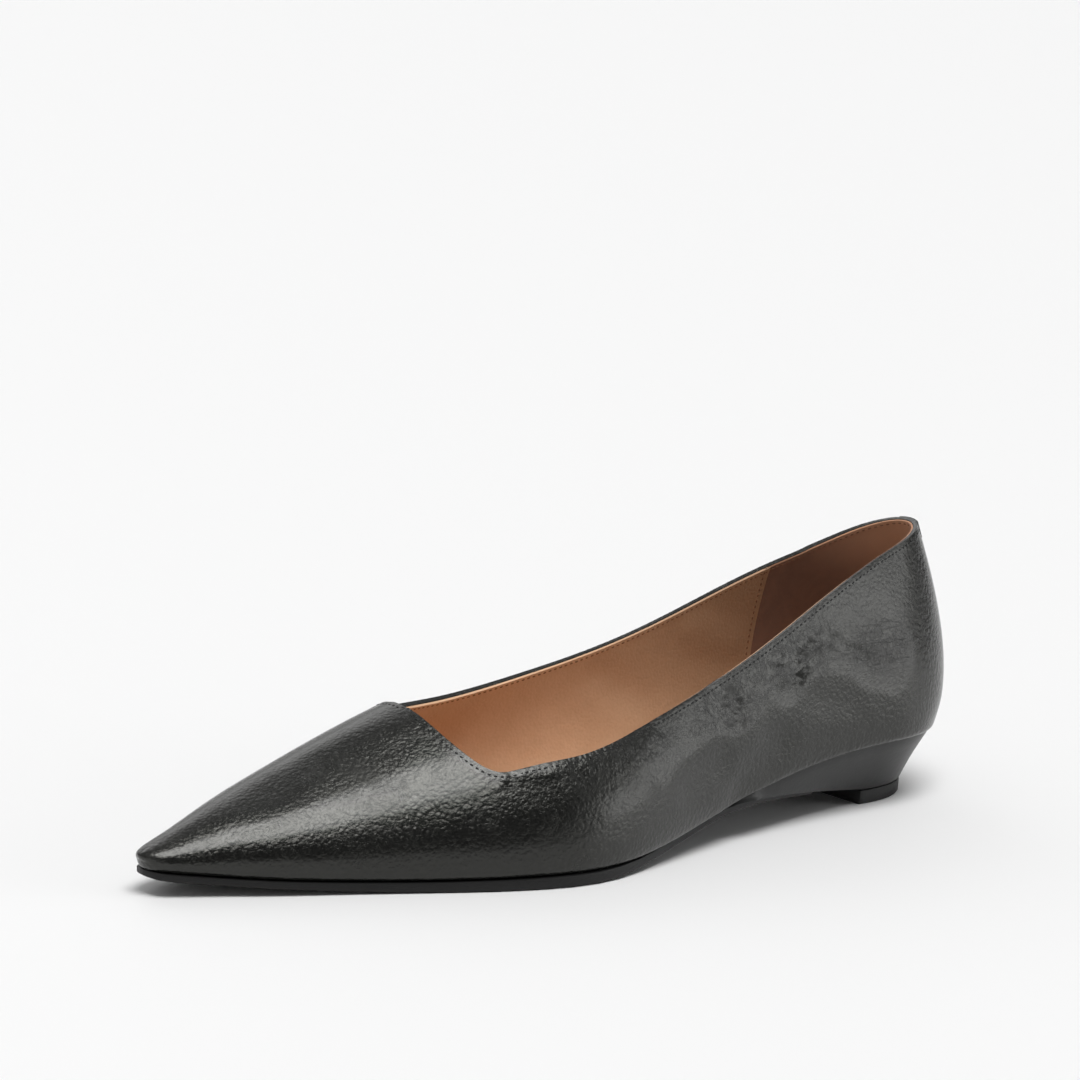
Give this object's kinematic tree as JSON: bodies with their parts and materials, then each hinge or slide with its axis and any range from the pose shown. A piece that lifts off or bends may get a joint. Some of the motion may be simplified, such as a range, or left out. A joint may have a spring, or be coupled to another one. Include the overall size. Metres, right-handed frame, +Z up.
{
  "type": "pointed flat shoe",
  "caption": "Women's pointed-toe flat shoe, left foot: hollow leather upper open at a low collar, tan insole, thin sole, and a low covered wedge heel with its own top lift.",
  "frame": {"origin": "centre of the shoe's box, on the floor it stands on", "axes": "+Z up; the toe points along -Y and the heel is at +Y; +X is the outer side of the left foot"},
  "size_m": [0.0796, 0.2634, 0.0751],
  "materials": {
    "black_leather": "crinkled, glossy",
    "tan_leather": "smooth, satin",
    "sole_black": "matt",
    "heel_cover_black": "moulded core in a thin black leather cover, satin",
    "lift_rubber": "matt"
  },
  "bodies": {
    "root": {"upper": "black_leather", "insole": "tan_leather", "outsole": "sole_black", "wedge_heel": "heel_cover_black", "top_lift": "lift_rubber"}
  },
  "joints": []
}
